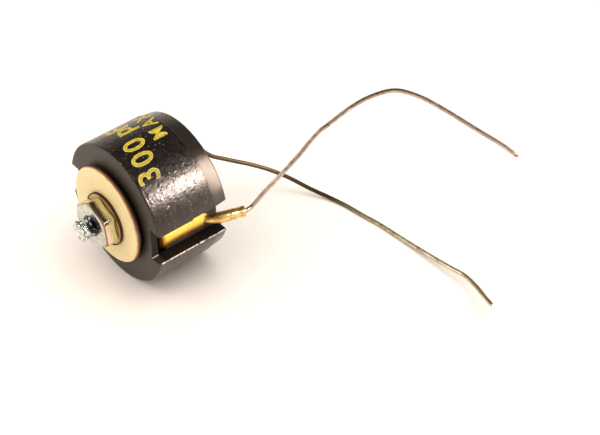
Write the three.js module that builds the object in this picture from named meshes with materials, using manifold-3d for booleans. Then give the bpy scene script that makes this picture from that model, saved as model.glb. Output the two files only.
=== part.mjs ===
// Compression-type variable capacitor, 1 inch across, lying on its side.
//
// A moulded phenolic drum holds a stack of brass foils and mica sheets. A fixed screw runs
// through the middle. Turning the nut on its front end presses a cream insulating disc and the
// plate behind it onto the stack, which squeezes the foils together and raises the capacitance.
//
// Units are millimetres and +Z is up. The drum's axis lies along Y, with the nut towards -Y.
// Inside the drum group, y = 0 is the drum's front face, y grows towards the rear, and the
// axis is x = z = 0. The outer group puts the origin on the table, under the middle of the
// body without its leads.

import * as THREE from 'three';
import * as BufferGeometryUtils from 'three/addons/utils/BufferGeometryUtils.js';
import Module from 'manifold-3d';

const wasm = await Module();
wasm.setup();

// ---------------------------------------------------------------- driving dimensions

const INCH = 25.4;

// Drum: outer shell with a front flange and two full-length side slots
const DRUM_RADIUS = INCH / 2;
const DRUM_LENGTH = 14.3;
const DRUM_BORE_RADIUS = 10.3;
const FLANGE_THICKNESS = 1.3;
const FLANGE_OPENING_RADIUS = 7.9;
const FRONT_EDGE_RADIUS = 0.3;
const REAR_TAPER_LENGTH = 2.7;
const REAR_TAPER_DEPTH = 0.4;
const REAR_EDGE_RADIUS = 0.4;
const SLOT_WIDTH = 5.8;
const SLOT_FLOOR_X = 10.15;
const SLOT_WALL_X = 9.6;

// Core: the thick back plate inside the drum
const CORE_RADIUS = 9.9;
const CORE_FRONT_Y = 4.6;
const CORE_REAR_Y = 12.05;
const CORE_HOLE_RADIUS = 2.0;
const CORE_BUSH_SEAT_DEPTH = 2.0;
const CORE_REAR_POCKET_RADIUS = 4.5;
const CORE_REAR_POCKET_DEPTH = 1.5;

// Number 6-32 screw, nut and washers
const SCREW_RADIUS = 1.75;
const SCREW_THREAD_DEPTH = 0.45;
const SCREW_PITCH = INCH / 32;
const SCREW_TIP_Y = -7.5;
const SCREW_THREAD_END_Y = 0.4;
const HEAD_RADIUS = 3.4;
const HEAD_HEIGHT = 2.1;
const HEAD_SLOT_WIDTH = 0.9;
const HEAD_SLOT_DEPTH = 1.0;
const REAR_WASHER_RADIUS = 4.1;
const REAR_WASHER_THICKNESS = 0.6;
const NUT_ACROSS_FLATS = INCH * 5 / 16;
const NUT_THICKNESS = 2.72;
const NUT_BORE_RADIUS = 1.83;
const NUT_CORNER_ANGLE = 37;
const NUT_CHAMFER = 0.3;
const WASHER_RADIUS = 4.75;
const WASHER_BORE_RADIUS = 1.95;
const WASHER_THICKNESS = 0.4;

// Pressure disc: a thin rim in front of the drum, and a hub that reaches in through the
// flange. It is a loose fit on the screw and sits a little off the drum's axis.
const DISC_RADIUS = 8.75;
const DISC_FRONT_Y = -1.7;
const DISC_RIM_REAR_Y = -0.75;
const DISC_EDGE_RADIUS = 0.3;
const DISC_HUB_RADIUS = 7.3;
const DISC_HUB_REAR_Y = 1.4;
const DISC_BORE_RADIUS = 2.3;
const DISC_COUNTERBORE_Y = 0.2;
const DISC_COUNTERBORE_RADIUS = 3.2;
const DISC_OFFSET = new THREE.Vector3(-0.2, 0, 0.4);

// Brass plate between the disc's hub and the stack
const PLATE_RADIUS = 7.6;
const PLATE_FRONT_Y = 1.42;
const PLATE_REAR_Y = 2.5;

// Insulating bush round the screw, where it passes the stack
const BUSH_RADIUS = 2.6;
const BUSH_BORE_RADIUS = 1.85;
const BUSH_FRONT_Y = 1.0;

// Stack of mica sheets and foils in front of the core
const FOIL_PAIRS = 3;
const FOIL_RADIUS = 8.2;
const FOIL_THICKNESS = 0.12;
const FOIL_TAB_HALF_WIDTH = 1.5;
const FOIL_TAB_END_X = 9.9;
const MICA_RADIUS = 9.0;
const MICA_THICKNESS = 0.08;
const SHEET_GAP = 0.03;
const STACK_HOLE_RADIUS = 2.9;

// Terminals: a strip in each slot that ends in a rolled crimp
const STRIP_THICKNESS = 0.4;
const STRIP_INNER_X = 10.0;
const STRIP_HALF_WIDTH = 1.8;
const STRIP_FRONT_Y = 1.6;
const STRIP_REAR_Y = 10.5;
const STRIP_FLARE_Y = 8.2;
const STRIP_FLARE = 0.45;
const STRIP_FOOT_X = 9.3;
const CRIMP_RADIUS = 0.9;
const CRIMP_BORE_RADIUS = 0.5;
const CRIMP_START = new THREE.Vector3(10.75, 9.9, -0.4);
const CRIMP_BEND_1 = new THREE.Vector3(12.2, 12.2, -0.4);
const CRIMP_BEND_2 = new THREE.Vector3(13.1, 14.6, -0.4);
const CRIMP_END = new THREE.Vector3(13.1, 17.9, -0.4);

// Solder bead on each crimp's mouth
const SOLDER_GAP = 0.05;
const SOLDER_LENGTH = 0.5;
const SOLDER_MOUTH_RADIUS = 0.82;
const SOLDER_TIP_RADIUS = 0.64;
const SOLDER_BORE_RADIUS = 0.5;

// Leads: solid tinned copper wire, 22 gauge
const LEAD_RADIUS = 0.32;

// Smoothness: the number of sides that each kind of round piece has
const DRUM_SIDES = 72;
const DISC_SIDES = 48;
const SHEET_SIDES = 36;
const HARDWARE_SIDES = 24;
const CRIMP_SIDES = 12;
const TUBE_SIDES = 8;

// The drum rests on one of its flat facets
const REST_HEIGHT = DRUM_RADIUS * Math.cos(Math.PI / DRUM_SIDES);
const BODY_MID_Y = (SCREW_TIP_Y + CRIMP_END.y + SOLDER_GAP + SOLDER_LENGTH) / 2;

// Lead routes in the part's own frame, from just inside each crimp's mouth to the bare end.
// The right lead stands up in a long arch. The left lead drops behind the drum, lies on the
// table and lifts a little at its end.
const RIGHT_LEAD_ROUTE = [
  [13.1, 10.8, 12.3], [13.1, 12.0, 12.3], [13.1, 13.1, 12.45], [13.3, 15.9, 14.4],
  [13.7, 18.9, 16.5], [14.0, 23.0, 19.2], [14.05, 25.2, 20.75], [14.2, 27.1, 22.0],
  [14.5, 28.7, 22.75], [15.5, 32.7, 24.9], [16.7, 36.0, 26.25], [18.8, 39.7, 27.0],
  [22.1, 42.4, 26.2], [25.1, 44.2, 24.9], [28.3, 45.9, 23.4], [31.5, 47.5, 21.9],
  [34.7, 49.2, 20.4], [37.7, 50.6, 18.8],
];
const LEFT_LEAD_ROUTE = [
  [-13.1, 10.8, 13.1], [-13.1, 12.7, 13.1], [-12.3, 14.6, 12.8], [-10.2, 16.1, 12.1],
  [-7.4, 17.0, 10.9], [-4.9, 18.1, 9.5], [-3.4, 20.5, 8.2], [-1.3, 24.3, 6.3],
  [0.4, 27.3, 4.5], [2.6, 29.6, 3.0], [6.3, 31.9, 1.35], [9.8, 33.6, 0.55],
  [12.9, 34.5, 0.34], [16.4, 35.0, 0.33], [20.6, 35.7, 0.34], [25.6, 36.1, 0.45],
  [32.5, 36.5, 0.9], [37.1, 36.8, 1.3], [40.4, 37.0, 1.7], [43.6, 36.3, 2.2],
  [47.0, 35.3, 2.5], [49.3, 34.6, 2.8],
];
const LEAD_STEP = 1.6;

// ---------------------------------------------------------------- materials

const phenolic = new THREE.MeshStandardMaterial({ color: 0x1c1a1b, roughness: 0.38, metalness: 0 });
const creamDisc = new THREE.MeshStandardMaterial({ color: 0xf1deb2, roughness: 0.55, metalness: 0 });
const zinc = new THREE.MeshStandardMaterial({ color: 0xb9b8ab, roughness: 0.32, metalness: 1 });
const brass = new THREE.MeshStandardMaterial({ color: 0xd8ab42, roughness: 0.3, metalness: 1 });
const mica = new THREE.MeshStandardMaterial({ color: 0xcfc6ae, roughness: 0.2, metalness: 0 });
const fibre = new THREE.MeshStandardMaterial({ color: 0x8a4a30, roughness: 0.7, metalness: 0 });
const solder = new THREE.MeshStandardMaterial({ color: 0xc9c6bd, roughness: 0.25, metalness: 1 });
const tinnedWire = new THREE.MeshStandardMaterial({ color: 0x8d857b, roughness: 0.35, metalness: 1 });

// ---------------------------------------------------------------- geometry helpers

// A solid that manifold-3d can cut, from a closed three.js geometry
function toManifold(geometry) {
  const bare = geometry.clone();
  bare.deleteAttribute('normal');
  bare.deleteAttribute('uv');
  const merged = BufferGeometryUtils.mergeVertices(bare, 1e-4);
  const mesh = new wasm.Mesh({
    numProp: 3,
    vertProperties: new Float32Array(merged.attributes.position.array),
    triVerts: new Uint32Array(merged.index.array),
  });
  return new wasm.Manifold(mesh);
}

function fromManifold(solid) {
  const mesh = solid.getMesh();
  const geometry = new THREE.BufferGeometry();
  geometry.setAttribute('position', new THREE.BufferAttribute(mesh.vertProperties, 3));
  geometry.setIndex(new THREE.BufferAttribute(mesh.triVerts, 1));
  geometry.computeVertexNormals();
  return geometry;
}

// A body of revolution about the drum's axis. The profile is a list of [radius, y] pairs that
// closes on itself; it runs so that the faces point out.
function ring(profile, sides) {
  const points = profile.map(([radius, y]) => new THREE.Vector2(radius, y));
  points.push(points[0].clone());
  return new THREE.LatheGeometry(points, sides, Math.PI / sides);
}

// A washer or tube with square edges
function plainRing(innerRadius, outerRadius, frontY, rearY, sides) {
  return ring([[innerRadius, frontY], [outerRadius, frontY], [outerRadius, rearY], [innerRadius, rearY]],
    sides);
}

// Points of a quarter turn from one angle to another, in degrees, as [radius, y] pairs
function cornerArc(centreRadius, centreY, cornerRadius, fromDegrees, toDegrees, steps) {
  const points = [];
  for (let i = 0; i <= steps; i += 1) {
    const angle = THREE.MathUtils.degToRad(fromDegrees + (toDegrees - fromDegrees) * i / steps);
    points.push([
      centreRadius + cornerRadius * Math.cos(angle),
      centreY + cornerRadius * Math.sin(angle),
    ]);
  }
  return points;
}

function box(minX, maxX, minY, maxY, minZ, maxZ) {
  const geometry = new THREE.BoxGeometry(maxX - minX, maxY - minY, maxZ - minZ);
  return geometry.translate((minX + maxX) / 2, (minY + maxY) / 2, (minZ + maxZ) / 2);
}

// A flat outline, drawn in x and -z, given a thickness along the drum's axis
function plate(shape, frontY, thickness, segments) {
  const geometry = new THREE.ExtrudeGeometry(shape, {
    depth: thickness,
    bevelEnabled: false,
    curveSegments: segments,
  });
  return geometry.rotateX(-Math.PI / 2).translate(0, frontY, 0);
}

function mesh(name, geometry, material) {
  const piece = new THREE.Mesh(geometry, material);
  piece.name = name;
  return piece;
}

// ---------------------------------------------------------------- drum, core and screw

function drumShell() {
  const taperRadius = DRUM_RADIUS - REAR_TAPER_DEPTH;
  const profile = [
    [FLANGE_OPENING_RADIUS, FLANGE_THICKNESS],
    [FLANGE_OPENING_RADIUS, 0],
    ...cornerArc(DRUM_RADIUS - FRONT_EDGE_RADIUS, FRONT_EDGE_RADIUS, FRONT_EDGE_RADIUS, -90, 0, 3),
    [DRUM_RADIUS, DRUM_LENGTH - REAR_TAPER_LENGTH],
    ...cornerArc(taperRadius - REAR_EDGE_RADIUS, DRUM_LENGTH - REAR_EDGE_RADIUS, REAR_EDGE_RADIUS, 0, 90, 3),
    [DRUM_BORE_RADIUS, DRUM_LENGTH],
    [DRUM_BORE_RADIUS, FLANGE_THICKNESS],
  ];
  let solid = toManifold(ring(profile, DRUM_SIDES));
  const beyond = 1;
  for (const side of [0, Math.PI]) {
    const notch = box(SLOT_FLOOR_X, DRUM_RADIUS + beyond, -beyond, DRUM_LENGTH + beyond,
      -SLOT_WIDTH / 2, SLOT_WIDTH / 2);
    const wallSlot = box(SLOT_WALL_X, DRUM_RADIUS + beyond, FLANGE_THICKNESS, DRUM_LENGTH + beyond,
      -SLOT_WIDTH / 2, SLOT_WIDTH / 2);
    solid = solid.subtract(toManifold(notch.rotateY(side)));
    solid = solid.subtract(toManifold(wallSlot.rotateY(side)));
  }
  return fromManifold(solid);
}

function coreBlock() {
  const seatRadius = BUSH_RADIUS + 0.05;
  const pocketY = CORE_REAR_Y - CORE_REAR_POCKET_DEPTH;
  return ring([
    [seatRadius, CORE_FRONT_Y],
    [CORE_RADIUS, CORE_FRONT_Y],
    [CORE_RADIUS, CORE_REAR_Y],
    [CORE_REAR_POCKET_RADIUS, CORE_REAR_Y],
    [CORE_REAR_POCKET_RADIUS, pocketY],
    [CORE_HOLE_RADIUS, pocketY],
    [CORE_HOLE_RADIUS, CORE_FRONT_Y + CORE_BUSH_SEAT_DEPTH],
    [seatRadius, CORE_FRONT_Y + CORE_BUSH_SEAT_DEPTH],
  ], DISC_SIDES);
}

const HEAD_FRONT_Y = CORE_REAR_Y - CORE_REAR_POCKET_DEPTH + REAR_WASHER_THICKNESS;

// Slotted pan-head screw. Its front stretch carries the thread, drawn as plain ridges.
function centreScrew() {
  const rootRadius = SCREW_RADIUS - SCREW_THREAD_DEPTH;
  const points = [[0, SCREW_TIP_Y], [rootRadius, SCREW_TIP_Y]];
  for (let y = SCREW_TIP_Y + SCREW_PITCH / 2; y < SCREW_THREAD_END_Y; y += SCREW_PITCH) {
    points.push([SCREW_RADIUS, y], [rootRadius, y + SCREW_PITCH / 2]);
  }
  const headRearY = HEAD_FRONT_Y + HEAD_HEIGHT;
  const domeDrop = 0.7;
  points.push(
    [SCREW_RADIUS, SCREW_THREAD_END_Y + SCREW_PITCH],
    [SCREW_RADIUS, HEAD_FRONT_Y],
    [HEAD_RADIUS, HEAD_FRONT_Y],
    [HEAD_RADIUS, headRearY - domeDrop],
    [HEAD_RADIUS - domeDrop, headRearY - domeDrop * 0.25],
    [HEAD_RADIUS * 0.5, headRearY],
    [0, headRearY],
  );
  const profile = points.map(([radius, y]) => new THREE.Vector2(radius, y));
  const turned = new THREE.LatheGeometry(profile, HARDWARE_SIDES, Math.PI / HARDWARE_SIDES);
  const slot = box(-HEAD_RADIUS - 1, HEAD_RADIUS + 1, headRearY - HEAD_SLOT_DEPTH, headRearY + 1,
    -HEAD_SLOT_WIDTH / 2, HEAD_SLOT_WIDTH / 2);
  const solid = toManifold(turned).subtract(toManifold(slot.rotateY(Math.PI / 5)));
  return fromManifold(solid);
}

function rearWasher() {
  const frontY = HEAD_FRONT_Y - REAR_WASHER_THICKNESS;
  return plainRing(SCREW_RADIUS + 0.1, REAR_WASHER_RADIUS, frontY, HEAD_FRONT_Y, HARDWARE_SIDES);
}

function insulatingBush() {
  const rearY = CORE_FRONT_Y + CORE_BUSH_SEAT_DEPTH;
  return plainRing(BUSH_BORE_RADIUS, BUSH_RADIUS, BUSH_FRONT_Y, rearY, HARDWARE_SIDES);
}

// ---------------------------------------------------------------- stack of mica and foil

function micaSheet(frontY) {
  return plainRing(STACK_HOLE_RADIUS, MICA_RADIUS, frontY, frontY + MICA_THICKNESS, SHEET_SIDES);
}

// A round foil with one tab that reaches out to the terminal strip on its own side
function foil(frontY, side) {
  const tabAngle = Math.asin(FOIL_TAB_HALF_WIDTH / FOIL_RADIUS);
  const outline = new THREE.Shape();
  outline.absarc(0, 0, FOIL_RADIUS, tabAngle, Math.PI * 2 - tabAngle, false);
  outline.lineTo(FOIL_TAB_END_X, -FOIL_TAB_HALF_WIDTH);
  outline.lineTo(FOIL_TAB_END_X, FOIL_TAB_HALF_WIDTH);
  outline.closePath();
  const hole = new THREE.Path();
  hole.absarc(0, 0, STACK_HOLE_RADIUS, 0, Math.PI * 2, true);
  outline.holes.push(hole);
  const geometry = plate(outline, frontY, FOIL_THICKNESS, SHEET_SIDES / 2);
  return side > 0 ? geometry : geometry.rotateY(Math.PI);
}

// Sheets are laid from the core's face forwards: mica, foil, mica and so on, with the foils'
// tabs to the right and to the left in turn
function stackPieces() {
  const pieces = [];
  let frontY = CORE_FRONT_Y - SHEET_GAP - MICA_THICKNESS;
  pieces.push(mesh('mica_sheet_1', micaSheet(frontY), mica));
  for (let pair = 1; pair <= FOIL_PAIRS; pair += 1) {
    for (const side of [1, -1]) {
      const sideName = side > 0 ? 'right' : 'left';
      frontY -= SHEET_GAP + FOIL_THICKNESS;
      pieces.push(mesh(`foil_${sideName}_${pair}`, foil(frontY, side), brass));
      frontY -= SHEET_GAP + MICA_THICKNESS;
      const sheetNumber = side > 0 ? pair * 2 : pair * 2 + 1;
      pieces.push(mesh(`mica_sheet_${sheetNumber}`, micaSheet(frontY), mica));
    }
  }
  return pieces;
}

// ---------------------------------------------------------------- pressure disc and nut

function pressureDisc() {
  return ring([
    [DISC_BORE_RADIUS, DISC_FRONT_Y],
    ...cornerArc(DISC_RADIUS - DISC_EDGE_RADIUS, DISC_FRONT_Y + DISC_EDGE_RADIUS, DISC_EDGE_RADIUS, -90, 0, 3),
    [DISC_RADIUS, DISC_RIM_REAR_Y],
    [DISC_HUB_RADIUS, DISC_RIM_REAR_Y],
    [DISC_HUB_RADIUS, DISC_HUB_REAR_Y],
    [DISC_COUNTERBORE_RADIUS, DISC_HUB_REAR_Y],
    [DISC_COUNTERBORE_RADIUS, DISC_COUNTERBORE_Y],
    [DISC_BORE_RADIUS, DISC_COUNTERBORE_Y],
  ], DISC_SIDES).translate(DISC_OFFSET.x, DISC_OFFSET.y, DISC_OFFSET.z);
}

function pressurePlate() {
  return plainRing(STACK_HOLE_RADIUS, PLATE_RADIUS, PLATE_FRONT_Y, PLATE_REAR_Y, DISC_SIDES);
}

const WASHER_FRONT_Y = DISC_FRONT_Y - WASHER_THICKNESS;
const NUT_REAR_Y = WASHER_FRONT_Y - 0.05;

function flatWasher() {
  return plainRing(WASHER_BORE_RADIUS, WASHER_RADIUS, WASHER_FRONT_Y, DISC_FRONT_Y, HARDWARE_SIDES);
}

// Hexagon nut whose corners are taken off on both faces by a turned cone
function adjustingNut() {
  const cornerRadius = NUT_ACROSS_FLATS / 2 / Math.cos(Math.PI / 6);
  const outline = new THREE.Shape();
  for (let corner = 0; corner < 6; corner += 1) {
    const angle = THREE.MathUtils.degToRad(-NUT_CORNER_ANGLE + corner * 60);
    const x = cornerRadius * Math.cos(angle);
    const y = cornerRadius * Math.sin(angle);
    if (corner === 0) {
      outline.moveTo(x, y);
    } else {
      outline.lineTo(x, y);
    }
  }
  outline.closePath();
  const frontY = NUT_REAR_Y - NUT_THICKNESS;
  const faceRadius = NUT_ACROSS_FLATS / 2 - 0.1;
  const turnedRadius = cornerRadius + 0.02;
  const turned = ring([
    [NUT_BORE_RADIUS, frontY],
    [faceRadius, frontY],
    [turnedRadius, frontY + NUT_CHAMFER],
    [turnedRadius, NUT_REAR_Y - NUT_CHAMFER],
    [faceRadius, NUT_REAR_Y],
    [NUT_BORE_RADIUS, NUT_REAR_Y],
  ], HARDWARE_SIDES);
  const hexagon = plate(outline, frontY, NUT_THICKNESS, 1);
  return fromManifold(toManifold(hexagon).intersect(toManifold(turned)));
}

// ---------------------------------------------------------------- terminals and leads

// The right terminal: a strip with a folded foot at its front and a rolled crimp at its rear
function terminal() {
  const outerX = STRIP_INNER_X + STRIP_THICKNESS;
  const outline = new THREE.Shape();
  outline.moveTo(STRIP_FOOT_X, STRIP_FRONT_Y);
  outline.lineTo(outerX, STRIP_FRONT_Y);
  outline.lineTo(outerX, STRIP_FLARE_Y);
  outline.lineTo(outerX + STRIP_FLARE, STRIP_REAR_Y);
  outline.lineTo(STRIP_INNER_X + STRIP_FLARE, STRIP_REAR_Y);
  outline.lineTo(STRIP_INNER_X, STRIP_FLARE_Y);
  outline.lineTo(STRIP_INNER_X, STRIP_FRONT_Y + STRIP_THICKNESS);
  outline.lineTo(STRIP_FOOT_X, STRIP_FRONT_Y + STRIP_THICKNESS);
  outline.closePath();
  const strip = new THREE.ExtrudeGeometry(outline, { depth: STRIP_HALF_WIDTH * 2, bevelEnabled: false });
  strip.translate(0, 0, -STRIP_HALF_WIDTH);

  const crimpPath = new THREE.CubicBezierCurve3(CRIMP_START, CRIMP_BEND_1, CRIMP_BEND_2, CRIMP_END);
  const section = new THREE.Shape();
  section.absarc(0, 0, CRIMP_RADIUS, 0, Math.PI * 2, false);
  const crimp = new THREE.ExtrudeGeometry(section, {
    steps: 10,
    curveSegments: CRIMP_SIDES / 2,
    bevelEnabled: false,
    extrudePath: crimpPath,
  });
  const boreDepth = 3.2;
  const bore = new THREE.CylinderGeometry(CRIMP_BORE_RADIUS, CRIMP_BORE_RADIUS, boreDepth + 1, CRIMP_SIDES);
  bore.translate(CRIMP_END.x, CRIMP_END.y + 1 - (boreDepth + 1) / 2, CRIMP_END.z);
  return fromManifold(toManifold(strip).add(toManifold(crimp)).subtract(toManifold(bore)));
}

// The bead of solder where the lead leaves the crimp's mouth
function solderBead() {
  const bead = ring([
    [SOLDER_BORE_RADIUS, 0],
    [SOLDER_MOUTH_RADIUS, 0],
    [SOLDER_TIP_RADIUS, SOLDER_LENGTH],
    [SOLDER_BORE_RADIUS, SOLDER_LENGTH],
  ], CRIMP_SIDES);
  return bead.translate(CRIMP_END.x, CRIMP_END.y + SOLDER_GAP, CRIMP_END.z);
}

function lead(route) {
  const curve = new THREE.CatmullRomCurve3(route.map(([x, y, z]) => new THREE.Vector3(x, y, z)));
  const section = new THREE.Shape();
  section.absarc(0, 0, LEAD_RADIUS, 0, Math.PI * 2, false);
  return new THREE.ExtrudeGeometry(section, {
    steps: Math.round(curve.getLength() / LEAD_STEP),
    curveSegments: TUBE_SIDES / 2,
    bevelEnabled: false,
    extrudePath: curve,
  });
}

// ---------------------------------------------------------------- assembly

const drum = new THREE.Group();
drum.position.set(0, -BODY_MID_Y, REST_HEIGHT);
drum.add(
  mesh('drum_shell', drumShell(), phenolic),
  mesh('core_block', coreBlock(), phenolic),
  mesh('centre_screw', centreScrew(), zinc),
  mesh('rear_washer', rearWasher(), zinc),
  mesh('insulating_bush', insulatingBush(), fibre),
  ...stackPieces(),
  mesh('pressure_plate', pressurePlate(), brass),
  mesh('pressure_disc', pressureDisc(), creamDisc),
  mesh('flat_washer', flatWasher(), fibre),
  mesh('adjusting_nut', adjustingNut(), zinc),
);

// The left terminal is the right one turned half round the drum's axis
for (const side of ['right', 'left']) {
  const terminalGroup = new THREE.Group();
  terminalGroup.rotation.y = side === 'right' ? 0 : Math.PI;
  terminalGroup.add(
    mesh(`terminal_${side}`, terminal(), brass),
    mesh(`solder_bead_${side}`, solderBead(), solder),
  );
  drum.add(terminalGroup);
}

const capacitor = new THREE.Group();
capacitor.add(
  drum,
  mesh('lead_right', lead(RIGHT_LEAD_ROUTE), tinnedWire),
  mesh('lead_left', lead(LEFT_LEAD_ROUTE), tinnedWire),
);

export default capacitor;
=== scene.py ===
"""Looks of a compression-type variable capacitor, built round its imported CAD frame.

Shapes are written in millimetres in the drum's own coordinates: y = 0 is the drum's front
face, y grows towards the rear, and the axis is x = z = 0. to_row() puts them in the row frame,
in metres, from the place of the CAD drum.
"""

import math

import bmesh
import bpy
import numpy as np
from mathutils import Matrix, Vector, noise


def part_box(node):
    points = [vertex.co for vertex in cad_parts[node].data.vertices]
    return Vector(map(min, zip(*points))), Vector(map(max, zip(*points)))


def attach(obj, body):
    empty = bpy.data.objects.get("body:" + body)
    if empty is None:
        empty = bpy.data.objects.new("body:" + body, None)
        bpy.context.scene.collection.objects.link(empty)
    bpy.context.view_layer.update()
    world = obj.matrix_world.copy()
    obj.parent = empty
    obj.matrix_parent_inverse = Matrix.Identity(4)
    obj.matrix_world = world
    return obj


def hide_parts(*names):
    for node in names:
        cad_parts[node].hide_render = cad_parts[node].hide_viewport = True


scene = bpy.context.scene
MM = 0.001
ARC_RADIUS = 12.7       # where arc lengths round the drum are measured, in millimetres
LEFT_RIGHT = {"right": 1.0, "left": -1.0}

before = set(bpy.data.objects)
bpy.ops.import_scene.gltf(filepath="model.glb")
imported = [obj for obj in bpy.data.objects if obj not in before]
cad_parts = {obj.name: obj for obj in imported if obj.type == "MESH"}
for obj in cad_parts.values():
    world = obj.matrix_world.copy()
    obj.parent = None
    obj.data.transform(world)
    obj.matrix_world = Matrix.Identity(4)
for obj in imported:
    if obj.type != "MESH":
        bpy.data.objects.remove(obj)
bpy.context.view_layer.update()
SHELL_LOW, SHELL_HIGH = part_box("drum_shell")
AXIS = np.array([(SHELL_LOW.x + SHELL_HIGH.x) / 2, SHELL_LOW.y, (SHELL_LOW.z + SHELL_HIGH.z) / 2])


def to_row(points):
    """Drum coordinates in millimetres to the row frame in metres."""
    return np.asarray(points, float) * MM + AXIS


def on_side(points, side):
    """Points of a shape on the right as they are, or turned half round the axis for the left."""
    return np.array(points) * (LEFT_RIGHT[side], 1.0, LEFT_RIGHT[side])


def new_object(name, data):
    made = bpy.data.objects.new(name, data)
    scene.collection.objects.link(made)
    return made


# ---- camera

TARGET = Vector((20.2, 17.7, 12.2)) * MM
DISTANCE = 280.3 * MM
AZIMUTH = math.radians(49.756)
ELEVATION = math.radians(41.951)
TOWARDS_CAMERA = Vector((
    math.sin(AZIMUTH) * math.cos(ELEVATION),
    -math.cos(AZIMUTH) * math.cos(ELEVATION),
    math.sin(ELEVATION),
))

camera_data = bpy.data.cameras.new("camera")
camera_data.sensor_width = 36.0
camera_data.lens = 101.35
camera_data.clip_start = 0.01
camera_data.clip_end = 10.0
camera = new_object("camera", camera_data)
camera.location = TARGET + TOWARDS_CAMERA * DISTANCE
camera.rotation_euler = (math.pi / 2 - ELEVATION, 0.0, AZIMUTH)
scene.camera = camera


# ---- shader helpers

def srgb(red, green, blue):
    """An 8-bit sRGB colour as linear RGBA."""
    def linear(value):
        value /= 255
        return value / 12.92 if value <= 0.04045 else ((value + 0.055) / 1.055) ** 2.4
    return (linear(red), linear(green), linear(blue), 1.0)


class Look:
    """A node material, and short ways to add nodes to it. Textures are scaled in millimetres."""

    def __init__(self, name, **sockets):
        self.material = bpy.data.materials.new(name)
        self.material.use_nodes = True
        self.tree = self.material.node_tree
        self.shader = self.tree.nodes["Principled BSDF"]
        for socket, value in sockets.items():
            self.shader.inputs[socket.replace("_", " ")].default_value = value

    def node(self, kind, inputs=(), **values):
        made = self.tree.nodes.new(kind)
        for key, value in values.items():
            setattr(made, key, value)
        for key, value in dict(inputs).items():
            self.put(made.inputs[key], value)
        return made

    def put(self, socket, value):
        if isinstance(value, bpy.types.NodeSocket):
            self.tree.links.new(value, socket)
        elif socket.type == "RGBA" and not hasattr(value, "__len__"):
            socket.default_value = (value, value, value, 1.0)
        else:
            socket.default_value = value

    def position(self, stretch=(1, 1, 1)):
        """The point in millimetres, in drum coordinates."""
        where = self.node("ShaderNodeTexCoord").outputs["Object"]
        moved = self.node("ShaderNodeVectorMath", {0: where, 1: tuple(AXIS)}, operation="SUBTRACT")
        scale = tuple(s / MM for s in stretch)
        return self.node("ShaderNodeVectorMath", {0: moved.outputs[0], 1: scale},
                         operation="MULTIPLY").outputs[0]

    def parts(self, vector):
        return self.node("ShaderNodeSeparateXYZ", {0: vector}).outputs

    def place(self):
        """x, y and z of the point in drum millimetres."""
        return self.parts(self.position())

    def math(self, operation, a, b=0.0):
        return self.node("ShaderNodeMath", {0: a, 1: b}, operation=operation).outputs[0]

    def times(self, a, b):
        return self.math("MULTIPLY", a, b)

    def radius(self):
        x, _, z = self.place()
        return self.math("SQRT", self.math("ADD", self.times(x, x), self.times(z, z)))

    def round_axis(self, arc=1.0, along=1.0):
        """(arc length, place along the axis, radius) in millimetres, the first two times a factor."""
        x, y, z = self.place()
        angle = self.math("ARCTAN2", z, x)
        return self.node("ShaderNodeCombineXYZ", {
            0: self.times(angle, ARC_RADIUS * arc), 1: self.times(y, along), 2: self.radius(),
        }).outputs[0]

    def noise(self, scale, vector=None, detail=3.0, roughness=0.55, distortion=0.0):
        return self.node("ShaderNodeTexNoise", {
            "Vector": vector or self.position(), "Scale": scale, "Detail": detail,
            "Roughness": roughness, "Distortion": distortion,
        }).outputs["Fac"]

    def strands(self):
        return self.noise(3.0, self.position((1, 0.2, 1)), detail=6.0, roughness=0.7)

    def cells(self, scale, vector=None):
        return self.node("ShaderNodeTexVoronoi", {
            "Vector": vector or self.position(), "Scale": scale,
        }).outputs["Distance"]

    def ramp(self, value, *stops):
        """stops are two of (position, level)."""
        made = self.node("ShaderNodeValToRGB", {"Fac": value})
        for element, (position, level) in zip(made.color_ramp.elements, stops):
            element.position = position
            element.color = (level, level, level, 1.0)
        return made.outputs["Color"]

    def span(self, value, low, high, out_low=0.0, out_high=1.0):
        """value from low..high, clamped, to out_low..out_high."""
        return self.node("ShaderNodeMapRange", {
            "Value": value, "From Min": low, "From Max": high, "To Min": out_low, "To Max": out_high,
        }).outputs["Result"]

    def vary(self, value, low, high):
        """low to high over the middle of a noise's range."""
        return self.span(value, 0.3, 0.7, low, high)

    def mix(self, factor, first, second):
        made = self.node("ShaderNodeMix", data_type="RGBA")
        for place, value in ((0, factor), (6, first), (7, second)):
            self.put(made.inputs[place], value)
        return made.outputs[2]

    def bump(self, *layers):
        """layers are (height, strength, millimetres deep), one on top of the other."""
        normal = None
        for height, strength, depth in layers:
            inputs = {"Height": height, "Strength": strength, "Distance": depth * MM}
            if normal is not None:
                inputs["Normal"] = normal
            normal = self.node("ShaderNodeBump", inputs).outputs["Normal"]
        self.put(self.shader.inputs["Normal"], normal)

    def finish(self, colour, roughness, metallic=0.0):
        for socket, value in (("Base Color", colour), ("Roughness", roughness), ("Metallic", metallic)):
            self.put(self.shader.inputs[socket], value)
        return self.material


# ---- materials

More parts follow.
